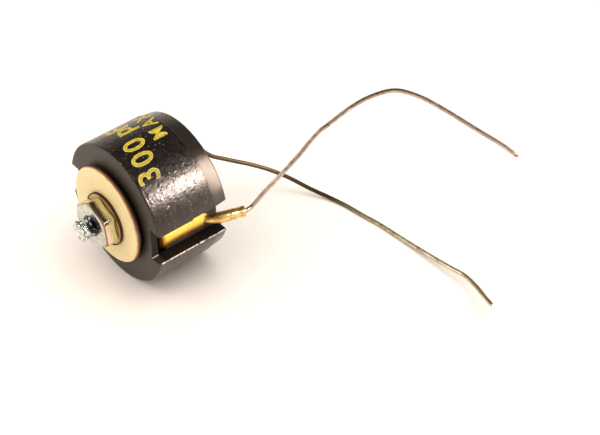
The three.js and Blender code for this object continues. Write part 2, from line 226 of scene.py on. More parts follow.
def phenolic(name):
    """Black moulding: polished and pitted outside, with a smooth rear band and a dull front face."""
    look = Look(name, IOR=1.55, Specular_IOR_Level=0.6, Specular_Tint=(1.0, 0.86, 0.77, 1.0))
    around = look.round_axis()
    _, along, z = look.place()
    grain = look.noise(1.3, detail=5.0, roughness=0.6)
    fine = look.noise(5.0)
    strokes = look.noise(1.0, look.round_axis(0.3, 3.4), detail=4.0, roughness=0.65)
    pits = look.cells(1.5)
    specks = look.math("MAXIMUM", look.ramp(look.cells(2.3, around), (0.07, 0.6), (0.15, 0.0)),
                       look.ramp(look.cells(1.05, around), (0.07, 1.0), (0.135, 0.0)))
    band = look.span(along, 11.62, 11.72)
    face = look.span(along, 0.24, 0.06)
    dusty = look.ramp(look.noise(0.6, around, detail=4.0), (0.42, 0.0), (0.75, 1.0))
    colour = look.mix(dusty, srgb(15, 12, 11), srgb(34, 28, 24))
    colour = look.mix(look.times(specks, 0.9), colour, srgb(140, 122, 104))
    lower = look.span(z, 3.0, -4.0)
    colour = look.mix(look.times(lower, 0.6), colour, srgb(46, 33, 26))
    colour = look.mix(face, colour, look.mix(look.noise(2.2), srgb(24, 21, 15), srgb(40, 35, 27)))
    colour = look.mix(band, colour, srgb(34, 28, 24))
    rough = look.vary(grain, 0.20, 0.34)
    rough = look.mix(face, rough, look.vary(fine, 0.50, 0.62))
    rough = look.mix(band, rough, look.vary(grain, 0.20, 0.28))
    relief = look.mix(look.math("MAXIMUM", band, face), 1.0, 0.12)
    look.bump(
        (look.times(look.noise(0.9), relief), 1.0, 0.065),
        (look.times(strokes, relief), 1.0, 0.026),
        (look.times(look.ramp(pits, (0.05, 1.0), (0.30, 0.0)), relief), 1.0, 0.024),
        (look.times(fine, relief), 1.0, 0.005),
    )
    return look.finish(colour, rough)


def slot_wall_painted_shade(name):
    """The slots' walls, with painted shade: darker than the outside, least so at the very front."""
    look = Look(name, IOR=1.5, Specular_IOR_Level=0.12)
    grain = look.noise(2.6, detail=4.0)
    # painted shade: near black inside the slots
    colour = look.mix(grain, srgb(9, 6, 3), srgb(20, 14, 8))
    along = look.place()[1]
    # less painted shade at the slot's open front end
    colour = look.mix(look.span(along, 1.35, 1.15), colour, srgb(46, 38, 32))
    look.bump((grain, 0.6, 0.03))
    return look.finish(colour, look.vary(grain, 0.6, 0.8))


def edge_painted_highlight(name):
    """A painted highlight along an edge: pale and bright, broken here and there."""
    look = Look(name, IOR=1.5, Specular_IOR_Level=0.9)
    gaps = look.span(look.noise(0.9, detail=4.0, roughness=0.7), 0.42, 0.5)
    # painted highlight where the edge would catch the light, dark in the gaps
    colour = look.mix(gaps, srgb(70, 56, 48), srgb(250, 240, 228))
    return look.finish(colour, look.span(gaps, 0.0, 1.0, 0.5, 0.2))


def cream(name):
    """Cream insulation, browner in patches round the washer. Down its rim it goes orange-brown, partly
    stain and partly painted shade, to near black at the rear edge, painted shade from the gap behind
    the rim.
    """
    look = Look(name, IOR=1.5, Subsurface_Weight=0.12, Subsurface_Scale=0.8 * MM)
    look.shader.inputs["Subsurface Radius"].default_value = (1.0, 0.6, 0.25)
    radius = look.radius()
    along = look.place()[1]
    blotches = look.noise(0.35, detail=4.0)
    colour = look.mix(blotches, srgb(212, 190, 135), srgb(224, 208, 159))
    stain = look.times(look.span(radius, 5.7, 4.7), look.span(look.noise(0.7), 0.35, 0.6))
    colour = look.mix(look.times(stain, 0.55), colour, srgb(196, 140, 92))
    marks = look.noise(1.0, look.position((0.35, 1, 1.6)), detail=6.0)
    marks = look.ramp(marks, (0.66, 0.0), (0.72, 1.0))
    colour = look.mix(look.times(marks, 0.35), colour, srgb(190, 150, 104))
    # the rim: orange-brown, partly stain and partly painted shade
    worn = look.math("ADD", along, look.span(look.noise(0.8), 0.0, 1.0, -0.12, 0.12))
    colour = look.mix(look.span(worn, -1.62, -1.4), colour, srgb(158, 106, 60))
    colour = look.mix(look.span(worn, -1.35, -1.1), colour, srgb(84, 48, 26))
    # painted shade: near black at the rim's rear edge, in the gap in front of the ring
    colour = look.mix(look.span(along, -1.05, -0.8), colour, srgb(26, 16, 10))
    look.bump((look.noise(0.8, detail=2.0), 0.6, 0.04), (look.noise(7.0), 0.5, 0.01))
    return look.finish(colour, look.vary(look.noise(1.7, detail=4.0), 0.36, 0.55))


def metal(name, clean, dull, tarnish, shine, scale=1.0, deep=0.010, amount=(0.5, 0.72)):
    """A metal whose colour goes from clean to dull in patches, with tarnish in spots."""
    look = Look(name)
    patches = look.noise(0.9 * scale, detail=4.0, roughness=0.6)
    spots = look.noise(2.1 * scale, detail=5.0, roughness=0.7, distortion=0.4)
    colour = look.mix(look.span(patches, 0.35, 0.65), clean, dull)
    mask = look.span(spots, *amount)
    colour = look.mix(mask, colour, tarnish)
    rough = look.mix(mask, look.vary(patches, *shine), shine[1] + 0.22)
    scratches = look.noise(9.0 * scale, look.position((0.25, 1, 1)), detail=2.0)
    look.bump((look.noise(1.6 * scale, detail=2.0), 0.7, deep * 2), (scratches, 0.5, deep * 0.4))
    return look.finish(colour, rough, 1.0)


def drawn_wire(name, bright, dull, shade_until_x, copper_tip):
    """Tinned copper, with painted shade underneath and, with a soft change, up to x = shade_until_x.
    At copper_tip, a cut end in drum millimetres, the copper is bare and red.
    """
    look = Look(name, Specular_Tint=(0.3, 0.27, 0.22, 1.0))
    patches = look.noise(0.45, detail=5.0, roughness=0.65)
    colour = look.mix(look.span(patches, 0.35, 0.65), bright, dull)
    brown = look.span(look.noise(1.4, detail=4.0), 0.52, 0.7)
    colour = look.mix(look.times(brown, 0.6), colour, srgb(100, 72, 48))
    # painted shade up to x = shade_until_x, standing in for a dark reflection
    near = look.span(look.place()[0], shade_until_x + 6, shade_until_x - 6)
    colour = look.mix(near, colour, srgb(82, 68, 50))
    # painted shade on the underside
    up = look.parts(look.node("ShaderNodeTexCoord").outputs["Normal"])[2]
    under = look.span(up, 0.10, -0.40)
    colour = look.mix(look.times(under, 0.85), colour, srgb(86, 72, 56))
    rough = look.mix(near, look.vary(patches, 0.20, 0.32), 0.5)
    if copper_tip is not None:
        away = look.node("ShaderNodeVectorMath", {0: look.position(), 1: tuple(copper_tip)},
                         operation="DISTANCE").outputs["Value"]
        colour = look.mix(look.span(away, 0.95, 0.6), colour, srgb(206, 84, 62))
    look.bump((look.noise(0.8, detail=2.0), 0.7, 0.02), (look.noise(8.0, detail=2.0), 0.4, 0.003))
    return look.finish(colour, rough, 1.0)


def strip_look(name):
    """Bright rolled brass: painted shade makes it darker towards the lower edge; it is also darker at
    the folded front end.
    """
    look = Look(name)
    x, along, z = look.place()
    down = look.times(z, look.math("SIGN", x))
    soft = look.noise(0.5, look.position((1, 0.4, 1)), detail=2.0)
    colour = look.mix(look.span(soft, 0.35, 0.65), srgb(255, 222, 110), srgb(246, 200, 84))
    # painted shade: darker towards the strip's lower edge, which faces away from the light
    lower = look.span(look.math("ADD", down, look.span(soft, 0.0, 1.0, -0.3, 0.3)), -0.1, -1.8)
    colour = look.mix(lower, colour, srgb(184, 122, 52))
    colour = look.mix(look.span(along, 2.7, 1.9), colour, srgb(92, 50, 22))
    look.bump((look.noise(1.2, detail=2.0), 0.5, 0.012))
    return look.finish(colour, look.vary(soft, 0.3, 0.42), 1.0)


def nut_look(name):
    """Silvery face and gilt passivated flats, with painted reflections: one flat dark, the others pale
    at the front. Brown chamfered corners.
    """
    look = Look(name)
    x, along, z = look.place()
    radius = look.radius()
    patches = look.noise(0.8)
    colour = look.mix(look.span(patches, 0.35, 0.65), srgb(226, 220, 190), srgb(206, 198, 164))
    front = look.math("ADD", along, look.vary(patches, -0.15, 0.15))
    front = look.span(front, -3.3, -3.75)
    dull = look.times(look.span(z, 2.0, 2.3), look.span(x, -0.9, -0.5))
    dull = look.times(front, dull)
    pale = look.math("SUBTRACT", front, dull)
    # painted dark reflection on the front part of one upper flat
    colour = look.mix(dull, colour, srgb(108, 106, 92))
    # painted pale reflection of the cream disc on the other flats' front part
    colour = look.mix(pale, colour, srgb(228, 206, 180))
    silver = look.mix(look.span(patches, 0.4, 0.6), srgb(204, 202, 192), srgb(174, 176, 164))
    colour = look.mix(look.span(along, -4.55, -4.75), colour, silver)
    # browner at the chamfered corners
    chamfer = look.times(look.span(along, -4.3, -4.42), look.span(radius, 3.86, 3.92))
    worn = look.times(chamfer, look.span(along, -4.70, -4.62))
    colour = look.mix(worn, colour, srgb(150, 122, 88))
    look.bump((look.noise(1.6, detail=2.0), 0.6, 0.012))
    return look.finish(colour, look.mix(chamfer, look.vary(patches, 0.15, 0.27), 0.5), 1.0)


def stud_look(name):
    """Bright plating at the battered tip; painted shade and dark reflection make the threads next to
    the nut near black.
    """
    look = Look(name)
    along = look.place()[1]
    patches = look.noise(1.4)
    colour = look.mix(look.span(patches, 0.4, 0.62), srgb(232, 238, 232), srgb(150, 158, 156))
    depth = look.math("ADD", along, look.vary(look.noise(0.9), -0.45, 0.45))
    # painted shade and dark reflection in the threads next to the nut
    inner = look.times(look.span(depth, -6.15, -5.75), look.span(along, 3.0, 2.0))
    colour = look.mix(look.times(inner, look.span(patches, 0.56, 0.5)), colour, srgb(44, 52, 58))
    look.bump((look.noise(2.4), 0.8, 0.03))
    return look.finish(colour, look.vary(patches, 0.12, 0.28), 1.0)


def crimp_look(name):
    """Old brass: pale bands along brown-gold, partly polish and partly painted sheen."""
    look = Look(name)
    polish_and_sheen_bands = look.noise(0.8, look.position((1.6, 0.35, 1.6)))
    spots = look.noise(1.3, detail=4.0, roughness=0.6)
    # pale bands along the tube: partly polish, partly painted sheen
    colour = look.mix(look.span(polish_and_sheen_bands, 0.38, 0.62), srgb(250, 218, 146), srgb(190, 142, 78))
    stain = look.span(spots, 0.54, 0.7)
    colour = look.mix(look.times(stain, 0.75), colour, srgb(100, 62, 30))
    look.bump((look.noise(1.3, detail=2.0), 0.6, 0.02), (spots, 0.4, 0.006))
    return look.finish(colour, look.mix(stain, look.vary(polish_and_sheen_bands, 0.24, 0.36), 0.5), 1.0)


def mica_look(name):
    look = Look(name, IOR=1.58, Transmission_Weight=0.25)
    flow = look.noise(0.5, detail=5.0)
    colour = look.mix(flow, srgb(214, 200, 168), srgb(178, 156, 118))
    look.bump((look.noise(2.0), 0.4, 0.01))
    return look.finish(colour, look.vary(flow, 0.12, 0.3))


def fibre_look(name, dark, light):
    look = Look(name)
    strands = look.strands()
    colour = look.mix(look.span(strands, 0.3, 0.7), dark, light)
    look.bump((strands, 0.8, 0.03))
    return look.finish(colour, look.vary(strands, 0.6, 0.8))


def washer_painted_shade_look(name):
    """Dark red-brown painted as the contact shade round the washer's edge, with a dull gilt face left
    inside the edge.
    """
    look = Look(name)
    strands = look.strands()
    # painted contact shade: the dark red-brown shows as a shaded line round the washer
    colour = look.mix(look.span(strands, 0.3, 0.7), srgb(34, 12, 6), srgb(70, 30, 16))
    gilt = look.times(look.span(look.radius(), 4.62, 4.56),
                     look.span(look.place()[1], -2.02, -2.06))
    colour = look.mix(gilt, colour, look.mix(look.noise(0.7), srgb(186, 160, 92), srgb(206, 168, 112)))
    look.bump((strands, 0.6, 0.02))
    return look.finish(colour, look.mix(gilt, 0.7, 0.42))


def ink(name, main, worn):
    look = Look(name, IOR=1.45)
    patches = look.noise(1.6, detail=4.0)
    colour = look.mix(look.span(patches, 0.4, 0.7), main, worn)
    look.bump((look.noise(4.0), 0.8, 0.03))
    return look.finish(colour, look.vary(patches, 0.4, 0.55))


PHENOLIC = phenolic("phenolic_moulded")
SLOT_WALL = slot_wall_painted_shade("phenolic_slot_painted_shade")
PAINTED_EDGE_HIGHLIGHT = edge_painted_highlight("phenolic_edge_painted_highlight")
CREAM = cream("cream_disc")
ZINC = metal("zinc_plated", srgb(206, 202, 186), srgb(184, 177, 152), srgb(140, 118, 76), (0.07, 0.17),
             deep=0.005, amount=(0.6, 0.76))
NUT = nut_look("zinc_nut")
STUD = stud_look("zinc_bright")
BRASS = strip_look("brass_strip")
CRIMP = crimp_look("brass_tarnished")
# the pressure plate, painted near black as shade in the gap behind the disc
PLATE = metal("brass_plate_painted_shade", srgb(70, 50, 26), srgb(52, 36, 20), srgb(30, 20, 12), (0.4, 0.6))
FOIL = metal("brass_foil", srgb(226, 184, 92), srgb(200, 154, 72), srgb(150, 96, 44), (0.2, 0.34))
SOLDER = metal("solder", srgb(168, 148, 124), srgb(138, 118, 94), srgb(96, 76, 52), (0.6, 0.7), 2.0)
MICA = mica_look("mica_sheet")
FIBRE = fibre_look("fibre_bush", srgb(120, 62, 40), srgb(168, 100, 66))
# a dark sheet that stands in for the shade deep in the slots
SHADE_SHEET = fibre_look("painted_shade_sheet", srgb(36, 20, 10), srgb(74, 44, 26))
WASHER = washer_painted_shade_look("washer_painted_contact_shade")
INK_EDGE = ink("ink_edge", srgb(214, 198, 78), srgb(160, 144, 48))
INK_FILL = ink("ink_fill", srgb(190, 163, 26), srgb(150, 124, 16))


# ---- mesh helpers

def shade(mesh, sharp):
    """Shades a mesh smooth, but for edges sharper than an angle in degrees."""
    mesh.shade_smooth()
    mesh.set_sharp_from_angle(angle=math.radians(sharp))


def solid(name, *shells, materials, sharp=32, indices=None):
    """One object from closed shells of (points in drum millimetres, faces)."""
    points, faces, slots = [], [], []
    for number, (shell_points, shell_faces) in enumerate(shells):
        faces += [tuple(i + len(points) for i in face) for face in shell_faces]
        points += [tuple(p) for p in to_row(shell_points)]
        slots += [indices[number] if indices else 0] * len(shell_faces)
    mesh = bpy.data.meshes.new(name)
    mesh.from_pydata(points, [], faces)
    mesh.polygons.foreach_set("material_index", slots)
    work = bmesh.new()
    work.from_mesh(mesh)
    bmesh.ops.remove_doubles(work, verts=work.verts, dist=1e-7)
    bmesh.ops.dissolve_degenerate(work, edges=work.edges, dist=1e-8)
    bmesh.ops.recalc_face_normals(work, faces=work.faces)
    work.to_mesh(mesh)
    work.free()
    for material in materials:
        mesh.materials.append(material)
    shade(mesh, sharp)
    return new_object(name, mesh)


def seat(piece, body, slot=None, *nodes):
    """Rides piece on a body, in place of CAD nodes. The slot argument is not used."""
    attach(piece, body)
    if nodes:
        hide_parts(*nodes)


def rounded(corners, steps=4):
    """A closed outline of (radius, y) points from corners of (radius, y, fillet radius)."""
    points = []
    for i, (r, y, fillet) in enumerate(corners):
        here = np.array([r, y], float)
        before = np.array(corners[i - 1][:2], float) - here
        after = np.array(corners[(i + 1) % len(corners)][:2], float) - here
        if fillet <= 0:
            points.append(here)
            continue
        before /= np.linalg.norm(before)
        after /= np.linalg.norm(after)
        half = math.acos(max(-1.0, min(1.0, float(before @ after)))) / 2
        reach = fillet / math.tan(half)
        middle = here + (before + after) / np.linalg.norm(before + after) * fillet / math.sin(half)
        start = here + before * reach - middle
        end = here + after * reach - middle
        turn = math.acos(max(-1.0, min(1.0, float(start @ end) / fillet ** 2)))
        for k in range(steps + 1):
            t = k / steps
            points.append(middle + (math.sin((1 - t) * turn) * start + math.sin(t * turn) * end)
                          / math.sin(turn))
    return np.array(points)


def grid_faces(rows, columns, close_rows=False):
    """Quads between rows of points, each row a closed loop."""
    faces = []
    for i in range(rows if close_rows else rows - 1):
        this, after = i * columns, ((i + 1) % rows) * columns
        for j in range(columns):
            k = (j + 1) % columns
            faces.append((this + j, this + k, after + k, after + j))
    return faces


def angles(count):
    return np.arange(count) * 2 * math.pi / count


def lathe(outline, sides):
    """A closed outline of (radius, y) turned about the axis."""
    turn = angles(sides)
    points = [(r * math.cos(t), y, r * math.sin(t)) for r, y in outline for t in turn]
    return np.array(points), grid_faces(len(outline), sides, close_rows=True)


def sweep(rings):
    """A closed tube through rings, each with the same number of points, with a fan on each end."""
    rings = np.asarray(rings, float)
    count, sides = rings.shape[:2]
    points = np.concatenate([rings.reshape(-1, 3), [rings[0].mean(0)], [rings[-1].mean(0)]])
    faces = grid_faces(count, sides)
    first, last = count * sides, count * sides + 1
    for j in range(sides):
        k = (j + 1) % sides
        faces.append((first, k, j))
        faces.append((last, (count - 1) * sides + j, (count - 1) * sides + k))
    return points, faces


def frames_along(path, up):
    """Side and up vectors at each point of a path, carried on without twist."""
    path = np.asarray(path, float)
    tangents = np.gradient(path, axis=0)
    tangents /= np.linalg.norm(tangents, axis=1)[:, None]
    ups, sides = [], []
    for tangent in tangents:
        up = up - (up @ tangent) * tangent
        up = up / np.linalg.norm(up)
        ups.append(up)
        sides.append(np.cross(tangent, up))
    return np.array(sides), np.array(ups)


def loft(path, up, section):
    """Sweeps the cross-section section(i, middle), of (across, out) points, along a path."""
    path = np.array(path)
    sides, ups = frames_along(path, np.array(up))
    return sweep([[middle + sides[i] * u + ups[i] * v for u, v in section(i, middle)]
                  for i, middle in enumerate(path)])


def catmull_rom(route, step):
    """Points about step apart on the centripetal Catmull-Rom curve through route."""
    route = [np.array(p, float) for p in route]
    route = [2 * route[0] - route[1], *route, 2 * route[-1] - route[-2]]
    points = []
    for p0, p1, p2, p3 in zip(route, route[1:], route[2:], route[3:]):
        d0, d1, d2 = (max(np.linalg.norm(b - a) ** 0.5, 1e-6)
                      for a, b in ((p0, p1), (p1, p2), (p2, p3)))
        m1 = ((p1 - p0) / d0 - (p2 - p0) / (d0 + d1) + (p2 - p1) / d1) * d1
        m2 = ((p2 - p1) / d1 - (p3 - p1) / (d1 + d2) + (p3 - p2) / d2) * d1
        count = max(2, round(np.linalg.norm(p2 - p1) / step))
        for k in range(count):
            t = k / count
            points.append(p1 * (2 * t ** 3 - 3 * t ** 2 + 1) + m1 * (t ** 3 - 2 * t ** 2 + t)
                          + p2 * (3 * t ** 2 - 2 * t ** 3) + m2 * (t ** 3 - t ** 2))
    points.append(route[-2])
    return np.array(points)


def rough(point, scale, seed=0.0):
    """Smooth noise of about -1 to 1 at a point in millimetres."""
    return noise.noise(Vector((point[0] * scale + seed, point[1] * scale, point[2] * scale)))


# ---- leads

# The routes of the CAD leads, in metres in the row frame
RIGHT_LEAD_ROUTE = [
    (.0131, .0108, .0123), (.0131, .0120, .0123), (.0131, .0131, .01245), (.0133, .0159, .0144),
    (.0137, .0189, .0165), (.0140, .0230, .0192), (.01405, .0252, .02075), (.0142, .0271, .0220),
    (.0145, .0287, .02275), (.0155, .0327, .0249), (.0167, .0360, .02625), (.0188, .0397, .0270),
    (.0221, .0424, .0262), (.0251, .0442, .0249), (.0283, .0459, .0234), (.0315, .0475, .0219),
    (.0347, .0492, .0204), (.0377, .0506, .0188),
]
LEFT_LEAD_ROUTE = [
    (-.0131, .0108, .0131), (-.0131, .0127, .0131), (-.0123, .0146, .0128), (-.0102, .0161, .0121),
    (-.0074, .0170, .0109), (-.0049, .0181, .0095), (-.0034, .0205, .0082), (-.0013, .0243, .0063),
    (.0004, .0273, .0045), (.0026, .0296, .0030), (.0063, .0319, .00135), (.0098, .0336, .00055),
    (.0129, .0345, .00034), (.0164, .0350, .00033), (.0206, .0357, .00034), (.0256, .0361, .00045),
    (.0325, .0365, .0009), (.0371, .0368, .0013), (.0404, .0370, .0017), (.0436, .0363, .0022),
    (.0470, .0353, .0025), (.0493, .0346, .0028),
]
LEAD_DIAMETER = 0.64
LEAD_SIDES = 20
LEAD_STEP = 0.35
TINNED = 1.14           # the tinned surface's radius as a share of the bare wire's
# Nipped off with cutters: how wide and how flat the last two rings are, from the end
NIPPED = ((0.72, 0.25), (0.97, 0.86))


def lead(side, route, bright, dull, shade_until_x, copper_end):
    path = catmull_rom(route, LEAD_STEP * MM)
    drum_path = (path - AXIS) / MM
    sides, ups = frames_along(drum_path, np.array([0.0, 0.3, 1.0]))
    turn = angles(LEAD_SIDES)
    rings = []
    for i, centre in enumerate(drum_path):
        ring = []
        for t in turn:
            out = sides[i] * math.cos(t) + ups[i] * math.sin(t)
            radius = LEAD_DIAMETER / 2 * (TINNED + 0.012 * rough(centre + out, 1.7, 3.0))
            ring.append(centre + out * radius)
        rings.append(ring)
    for back, (wide, flat) in enumerate(NIPPED, 1):
        i = len(rings) - back
        rings[i] = [drum_path[i] + (p - drum_path[i]) * wide
                    - ups[i] * ((p - drum_path[i]) @ ups[i]) * (1 - flat) for p in rings[i]]
    tip = drum_path[-1] if copper_end else None
    look = drawn_wire(f"tinned_wire_{side}", bright, dull, shade_until_x, tip)
    piece = solid(f"lead_{side}_wire", sweep(rings), materials=[look], sharp=40)
    seat(piece, "drum", "tinned_wire", f"lead_{side}")


lead("right", RIGHT_LEAD_ROUTE, srgb(228, 210, 192), srgb(186, 162, 140), -9.0, True)
lead("left", LEFT_LEAD_ROUTE, srgb(246, 232, 204), srgb(196, 178, 148), 16.0, False)


# ---- drum shell

DRUM_RADIUS = 12.688
DRUM_LENGTH = 14.3
DRUM_SIDES = 288
SLOT_HALF_WIDTH = 2.9
SLOT_FLOOR_X = 10.15
SLOT_WALL_X = 9.6
SLOT_BEYOND = 1.5       # how far a cutter reaches past the drum's ends
LIP_STEP = 0.2          # the upper lip stands this much further back behind LIP_STEP_Y
LIP_STEP_Y = 7.0
FLANGE_THICKNESS = 1.3
BAND_FRONT_Y = 11.6


def flared_outline(front_upper, front_lower, rear_lower, rear_upper):
    """The slot's outline in (y, z), closed past both ends. Each end of each lip is flared round."""
    h = SLOT_HALF_WIDTH
    front, rear = -SLOT_BEYOND, DRUM_LENGTH + SLOT_BEYOND
    points = []

    def corner(y_end, z_wall, radius, into, outward):
        """A quarter round from the wall to the end face. into is the way into the drum."""
        for k in range(9):
            a = k / 8 * math.pi / 2
            points.append((y_end + into * radius * (1 - math.sin(a)),
                           z_wall + outward * radius * (1 - math.cos(a))))

    corner(DRUM_LENGTH, -h, rear_lower, -1, -1)
    points += [(rear, -h - rear_lower), (rear, h + rear_upper)]
    upper = len(points)
    corner(DRUM_LENGTH, h + LIP_STEP, rear_upper, -1, 1)
    points[upper:] = points[upper:][::-1]
    points += [(LIP_STEP_Y + LIP_STEP, h + LIP_STEP), (LIP_STEP_Y, h)]
    corner(0.0, h, front_upper, 1, 1)
    points += [(front, h + front_upper), (front, -h - front_lower)]
    lower = len(points)
    corner(0.0, -h, front_lower, 1, -1)
    points[lower:] = points[lower:][::-1]
    return points


def prism(outline, near_x, far_x, side):
    """The outline in (y, z) given a thickness along x."""
    points = [(x, y, z) for x in (near_x, far_x) for y, z in outline]
    count = len(outline)
    faces = [tuple(range(count)), tuple(range(2 * count - 1, count - 1, -1))]
    for i in range(count):
        k = (i + 1) % count
        faces.append((i, i + count, k + count, k))
    return on_side(points, side), faces


def cut(piece, cutter):
    """Takes cutter out of piece for good."""
    difference = piece.modifiers.new("cut", "BOOLEAN")
    difference.operation = "DIFFERENCE"
    difference.solver = "EXACT"
    difference.material_mode = "TRANSFER"
    difference.object = cutter
    bake(piece)
    bpy.data.objects.remove(cutter)


def bake(piece):
    """Applies the piece's modifiers."""
    graph = bpy.context.evaluated_depsgraph_get()
    mesh = bpy.data.meshes.new_from_object(piece.evaluated_get(graph))
    old = piece.data
    piece.modifiers.clear()
    piece.data = mesh
    bpy.data.meshes.remove(old)


def soften(piece, width):
    """Rounds the piece's sharp edges."""
    edge = piece.modifiers.new("soften", "BEVEL")
    edge.width = width * MM
    edge.segments = 3
    edge.limit_method = "ANGLE"
    edge.angle_limit = math.radians(38)
    bake(piece)
    shade(piece.data, 60)


def drum_shell():
    outline = rounded([
        (7.9, FLANGE_THICKNESS, 0.1), (7.9, 0.0, 0.2), (DRUM_RADIUS, 0.0, 0.48),
        (DRUM_RADIUS, BAND_FRONT_Y, 0.05), (DRUM_RADIUS - 0.07, BAND_FRONT_Y + 0.08, 0.05),
        (DRUM_RADIUS - 0.36, DRUM_LENGTH, 0.4), (10.3, DRUM_LENGTH, 0.2),
        (10.3, FLANGE_THICKNESS, 0.1),
    ], 5)
    piece = solid("drum_shell_moulded", lathe(outline, DRUM_SIDES), materials=[PHENOLIC], sharp=60)
    slot = flared_outline(0.45, 0.2, 1.2, 0.35)
    rear = DRUM_LENGTH + SLOT_BEYOND
    window = [(FLANGE_THICKNESS, -SLOT_HALF_WIDTH), (rear, -SLOT_HALF_WIDTH),
              (rear, SLOT_HALF_WIDTH), (FLANGE_THICKNESS, SLOT_HALF_WIDTH)]
    for side in LEFT_RIGHT:
        cut(piece, solid("cutter", prism(slot, SLOT_FLOOR_X, 14.0, side), materials=[SLOT_WALL]))
        cut(piece, solid("cutter", prism(window, SLOT_WALL_X, 10.6, side), materials=[SLOT_WALL]))
    soften(piece, 0.13)
    seat(piece, "drum", "phenolic", "drum_shell")


def highlight_bead(side, name, path, radius):
    """A bead along path, of uneven thickness, which carries a painted highlight."""
    def circle(_, middle):
        size = radius * (0.8 + 0.5 * rough(middle, 2.2, radius * 50))
        return [(math.cos(t) * size, math.sin(t) * size) for t in angles(8)]

    points, faces = loft(path, (1.0, 0.0, 1.0), circle)
    seat(solid(f"highlight_bead_{name}_{side}", (on_side(points, side), faces), materials=[PAINTED_EDGE_HIGHLIGHT]), "drum")


drum_shell()
lip_z = -SLOT_HALF_WIDTH - 0.02
lip_x = math.sqrt(DRUM_RADIUS ** 2 - lip_z ** 2) - 0.06
# beads on the lip's outer edge and the flange notch's corner, coloured as painted highlights
for side in LEFT_RIGHT:
    highlight_bead(side, "lip", [(lip_x - 0.004 * max(0.0, y - BAND_FRONT_Y) ** 3, y, lip_z)
                             for y in np.arange(0.35, 13.4, 0.15)], 0.12)
    highlight_bead(side, "corner", [(SLOT_FLOOR_X + 0.05, y, -SLOT_HALF_WIDTH + 0.03)
                                for y in np.arange(0.05, FLANGE_THICKNESS, 0.12)], 0.11)


# ---- core, washers and disc

def turned(name, corners, sides, material, body, slot, node, steps=4, offset=(0, 0, 0)):
    points, faces = lathe(rounded(corners, steps), sides)
    seat(solid(name, (points + np.array(offset), faces), materials=[material]), body, slot, node)


DISC_OFFSET = (-0.2, 0.0, 0.4)      # the disc is a loose fit on the screw

turned("core_block_moulded", [
    (2.65, 4.6, 0.08), (9.9, 4.6, 0.2), (9.9, 12.05, 0.45), (4.5, 12.05, 0.3), (4.5, 10.55, 0.15),
    (2.0, 10.55, 0.1), (2.0, 6.6, 0.05), (2.65, 6.6, 0.05),
], 160, PHENOLIC, "drum", "phenolic", "core_block")
turned("rear_washer_steel", [
    (1.85, 10.55, 0.05), (4.1, 10.55, 0.12), (4.1, 11.15, 0.18), (1.85, 11.15, 0.08),
], 96, ZINC, "drum", "zinc_steel", "rear_washer")
turned("pressure_disc_cream", [
    (2.3, -1.7, 0.15), (8.75, -1.7, 0.42), (8.75, -0.75, 0.12), (7.3, -0.75, 0.15), (7.3, 1.4, 0.25),
    (3.2, 1.4, 0.1), (3.2, 0.2, 0.1), (2.3, 0.2, 0.1),
], 192, CREAM, "disc", "cream_disc", "pressure_disc", steps=8, offset=DISC_OFFSET)
turned("flat_washer_painted_shade", [
    (1.95, -2.1, 0.06), (4.62, -2.1, 0.02), (4.66, -2.24, 0.03), (4.80, -2.24, 0.05),
    (4.80, -1.7, 0.04), (1.95, -1.7, 0.05),
], 120, WASHER, "disc", "fibre", "flat_washer")


# ---- nut

NUT_HALF_FLATS = 25.4 * 5 / 32
NUT_FRONT_Y = -4.87
NUT_REAR_Y = -2.15
NUT_BORE = 1.83
NUT_CORNER_ANGLE = math.radians(37)
NUT_CORNER_WEAR = 0.105
THREAD_PITCH = 25.4 / 32


def hexagon_radius(angle):
    """The hexagon's radius at an angle, with its corners worn off."""
    sector = math.pi / 3
    off = (angle - NUT_CORNER_ANGLE) % sector - sector / 2
    corner = NUT_HALF_FLATS / math.cos(sector / 2)
    return min(NUT_HALF_FLATS / math.cos(off), corner - NUT_CORNER_WEAR)


def thread_ridge(angle, y):
    """0 in the thread's groove to 1 on its crest."""
    return 1 - abs(2 * ((y / THREAD_PITCH + angle / (2 * math.pi)) % 1.0) - 1)


def adjusting_nut():
    sides = 240
    turn = angles(sides)
    middle = (NUT_FRONT_Y + NUT_REAR_Y) / 2
    half = (NUT_REAR_Y - NUT_FRONT_Y) / 2
    face_radius = NUT_HALF_FLATS - 0.12
    slope = math.tan(math.radians(30))
    rings = []
    # From the bore's front edge out over the face and down the flats, then the same way back
    levels = [("face", NUT_BORE + 0.3), ("face", 2.6), ("face", 3.2), ("face", face_radius - 0.1),
              ("cone", 0.0), ("flat", 0.97), ("flat", 0.6), ("flat", 0.2)]
    levels = [(*level, 1) for level in levels] + [(*level, -1) for level in levels[::-1]]
    for kind, value, end in levels:
        ring = []
        for t in turn:
            wide = hexagon_radius(t)
            drop = max(0.0, (wide - face_radius) * slope)
            if kind == "face":
                radius, depth = value, half
            elif kind == "cone":
                radius, depth = min(face_radius, wide), half
            else:
                radius, depth = wide, (half - drop) * value
            ring.append((radius * math.cos(t), middle - end * depth, radius * math.sin(t)))
        rings.append(ring)
    bore_rows = 28
    for k in range(1, bore_rows):
        y = NUT_REAR_Y - (NUT_REAR_Y - NUT_FRONT_Y) * k / bore_rows
        ring = []
        for t in turn:
            radius = NUT_BORE + 0.22 * thread_ridge(t, y)
            ring.append((radius * math.cos(t), y, radius * math.sin(t)))
        rings.append(ring)
    points = np.array(rings).reshape(-1, 3)
    shell = (points, grid_faces(len(rings), sides, close_rows=True))
    piece = solid("adjusting_nut_plated", shell, materials=[NUT], sharp=24)
    seat(piece, "nut", "zinc_steel", "adjusting_nut")


adjusting_nut()


# ---- screw

